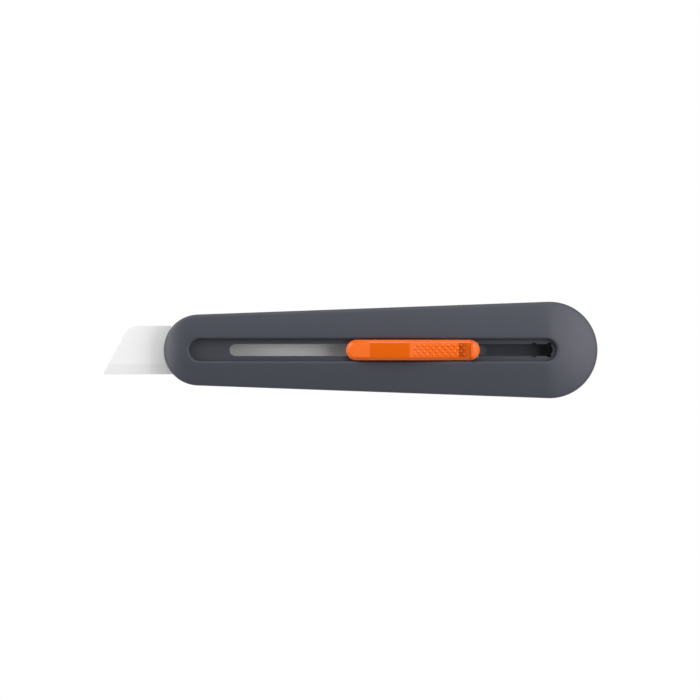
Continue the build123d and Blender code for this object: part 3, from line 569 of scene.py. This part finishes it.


# Where each painted highlight and painted shade starts and ends, in millimetres across, up and
# along the button.
INNER_SIDE, PAD_TOP = (2.9, 2.5), (22.79, 22.72)
HOLLOW_FRONT, HOLLOW_REAR, HOLLOW_DARKENS = (40.9, 41.5), (46.0, 45.8), (46.0, 42.0)
DARK_LEAST, DARK_MORE = 0.45, 0.65
sideways = orange.add("ShaderNodeMath", {"operation": "ABSOLUTE"}, {0: across})
inner = fade(sideways, *INNER_SIDE)
# Painted highlight mask: the ramp, grip and lip inside the shoulders, all but the pad.
painted_slope_light = inner * fade(up, *PAD_TOP)
# Painted shade mask: the hollow before the lip, fading toward the lip.
painted_hollow_shade = inner * fade(along_x, *HOLLOW_FRONT) * fade(along_x, *HOLLOW_REAR)
painted_hollow_shade = painted_hollow_shade * (DARK_LEAST + DARK_MORE * fade(along_x, *HOLLOW_DARKENS))
nylon = orange.blend(orange.noise(120, 3), rgb(0.66, 0.104, 0.002), rgb(0.71, 0.114, 0.003))
# The painted highlight: a paler orange on the slopes.
nylon = orange.blend(painted_slope_light, nylon, rgb(0.84, 0.142, 0.010))
# The painted shade: a darker orange in the hollow.
orange.set("Base Color", orange.blend(painted_hollow_shade, nylon, rgb(0.46, 0.070, 0.001)))
orange.rough(0.22, 0.07, 900)
orange.grain(2600, 0.2, 0.02)

BUTTON_FRONT, BUTTON_REAR, BUTTON_HALF = -1.5, 49.1, 3.87
BUTTON_BASE, BUTTON_SHOULDER = 17.75, 18.6
CORNER_STRAIGHT, CORNER_STEPS = 0.002, 14
SHOULDER_IN, SHOULDER_DROP = 1.2, 0.85
FRONT_CUT, RAMP_END, PLATEAU_END, GRIP_END, VALLEY_END, LIP = 2.3, 7.7, 22.4, 41.2, 45.9, 46.5
PLATEAU_TOP, FRONT_TOP, VALLEY_TOP, LIP_TOP, REAR_TOP = 22.8, 19.8, 20.6, 21.7, 21.0
PIVOT_X, UNDERSIDE_SLOPE = 11.0, math.tan(math.radians(2.0))
GRIP_STEPS = 14
BUTTON_EASE, BUTTON_SHARP, EASE_STEPS, BUTTON_CREASE = 0.16, 12, 3, 28
UPWARD, NEAR = 0.9, 0.01
grip_long, grip_deep = GRIP_END - PLATEAU_END, PLATEAU_TOP - VALLEY_TOP
grip_radius = (grip_long**2 + grip_deep**2) / (2 * grip_deep)


def along(x, first, last):
    """The height at x on the straight line between two (x, height) points."""
    return first[1] + (last[1] - first[1]) * (x - first[0]) / (last[0] - first[0])


def button_height(x):
    """The button's top in profile: ramp, plateau, dished grip, valley and lip."""
    if x < RAMP_END:
        return along(x, (BUTTON_FRONT, FRONT_TOP), (RAMP_END, PLATEAU_TOP))
    if x < PLATEAU_END:
        return PLATEAU_TOP
    if x < GRIP_END:
        return VALLEY_TOP + grip_radius - math.sqrt(grip_radius**2 - (GRIP_END - x) ** 2)
    if x < VALLEY_END:
        return VALLEY_TOP
    if x < LIP:
        return along(x, (VALLEY_END, VALLEY_TOP), (LIP, LIP_TOP))
    return along(x, (LIP, LIP_TOP), (BUTTON_REAR, REAR_TOP))


bpy.ops.object.select_all(action="DESELECT")
middle = (MM * (BUTTON_FRONT + BUTTON_REAR) / 2, 0, MM * (BUTTON_BASE + BUTTON_SHOULDER) / 2)
bpy.ops.mesh.primitive_cube_add(size=1, location=middle)
button = bpy.context.object
button.name = button.data.name = "thumb_button"
length, depth = BUTTON_REAR - BUTTON_FRONT, BUTTON_SHOULDER - BUTTON_BASE
button.scale = (MM * length, 2 * MM * BUTTON_HALF, MM * depth)
bpy.ops.object.transform_apply(location=True, rotation=True, scale=True)


def choose(piece, kind, test):
    """In edit mode, selects only the edges or faces that pass a test."""
    mesh = bmesh.from_edit_mesh(piece.data)
    for part in [*mesh.verts, *mesh.edges, *mesh.faces]:
        part.select_set(False)
    for part in getattr(mesh, kind):
        if test(part):
            part.select_set(True)
    bmesh.update_edit_mesh(piece.data)


def upright(edge):
    run = edge.verts[1].co - edge.verts[0].co
    return abs(run.z) > abs(run.x) + abs(run.y)


bpy.ops.object.mode_set(mode="EDIT")
bpy.ops.mesh.select_mode(type="EDGE")
choose(button, "edges", upright)
corner = MM * (BUTTON_HALF - CORNER_STRAIGHT)
bpy.ops.mesh.bevel(offset=corner, segments=CORNER_STEPS, affect="EDGES")
bpy.ops.mesh.select_mode(type="FACE")
choose(button, "faces", lambda flat: flat.normal.z > UPWARD)
bpy.ops.mesh.inset(thickness=MM * SHOULDER_IN)
bpy.ops.transform.translate(value=(0, 0, MM * SHOULDER_DROP))
cuts = [RAMP_END, PIVOT_X, PLATEAU_END, VALLEY_END, LIP, FRONT_CUT]
cuts += [PLATEAU_END + grip_long * step / GRIP_STEPS for step in range(1, GRIP_STEPS + 1)]
for x in cuts:
    bpy.ops.mesh.select_all(action="SELECT")
    bpy.ops.mesh.bisect(plane_co=(MM * x, 0, 0), plane_no=(1, 0, 0))
bpy.ops.mesh.select_all(action="SELECT")
bpy.ops.mesh.remove_doubles(threshold=MM * MERGE)
bpy.ops.object.mode_set(mode="OBJECT")
for vertex in button.data.vertices:
    x, y, z = vertex.co / MM
    if z > BUTTON_SHOULDER - NEAR:
        vertex.co.z = MM * (button_height(x) - SHOULDER_DROP + z - BUTTON_SHOULDER)
    else:
        vertex.co.z = MM * (BUTTON_BASE + max(x - PIVOT_X, 0) * UNDERSIDE_SLOPE)
eased = {"width": MM * BUTTON_EASE, "segments": EASE_STEPS, "limit_method": "ANGLE"}
shape(button, "BEVEL", angle_limit=math.radians(BUTTON_SHARP), **eased)

# Room under the button for the sled's pivot ear.
EAR_FRONT, EAR_REAR, EAR_HALF, EAR_TOP = 8.6, 13.4, 2.35, 21.4
ROOM_LOW = 16
cut(button, block((EAR_FRONT, -EAR_HALF, ROOM_LOW), (EAR_REAR, EAR_HALF, EAR_TOP)))

# The grip's pips: one round pip, copied in staggered rows and run into the button.
PIP_ROUND, PIP_SUNK, PIP_SIDES, PIP_RINGS = 0.62, 0.16, 20, 12
PIP_START, PIP_PITCH, PIPS, PIP_ROW, PIP_ROWS = 2.15, 2.32, 9, 1.15, 4
pips = []
for row in range(PIP_ROWS):
    for count in range(PIPS - row % 2):
        x = PLATEAU_END + PIP_START + (count + row % 2 / 2) * PIP_PITCH
        if not pips:
            sides = {"segments": PIP_SIDES, "ring_count": PIP_RINGS}
            bpy.ops.mesh.primitive_uv_sphere_add(radius=MM * PIP_ROUND, **sides)
            pip = bpy.context.object
        else:
            pip = pips[0].copy()
            pip.data = pips[0].data.copy()
            bpy.context.scene.collection.objects.link(pip)
        y = (row - (PIP_ROWS - 1) / 2) * PIP_ROW
        pip.location = (MM * x, MM * y, MM * (button_height(x) - PIP_SUNK))
        pips.append(pip)
bpy.ops.object.select_all(action="DESELECT")
for pip in pips:
    pip.select_set(True)
bpy.context.view_layer.objects.active = pips[0]
bpy.ops.object.join()
bpy.ops.object.transform_apply(location=True, rotation=True, scale=True)
grip_pips = bpy.context.object
shape(button, "BOOLEAN", operation="UNION", object=grip_pips, solver="EXACT")
bpy.data.objects.remove(grip_pips)

# Room for the return spring, with the button's travel over it.
SPRING_AT, SPRING_ROOM, SPRING_SIDES, SPRING_ROOF = 28.0, 1.8, 32, 21.07
cut(button, rod(SPRING_AT, 0, ROOM_LOW, SPRING_ROOF, SPRING_ROOM, SPRING_SIDES))
dress(button, orange, BUTTON_CREASE)
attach(button, "button")
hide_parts("slider_button")
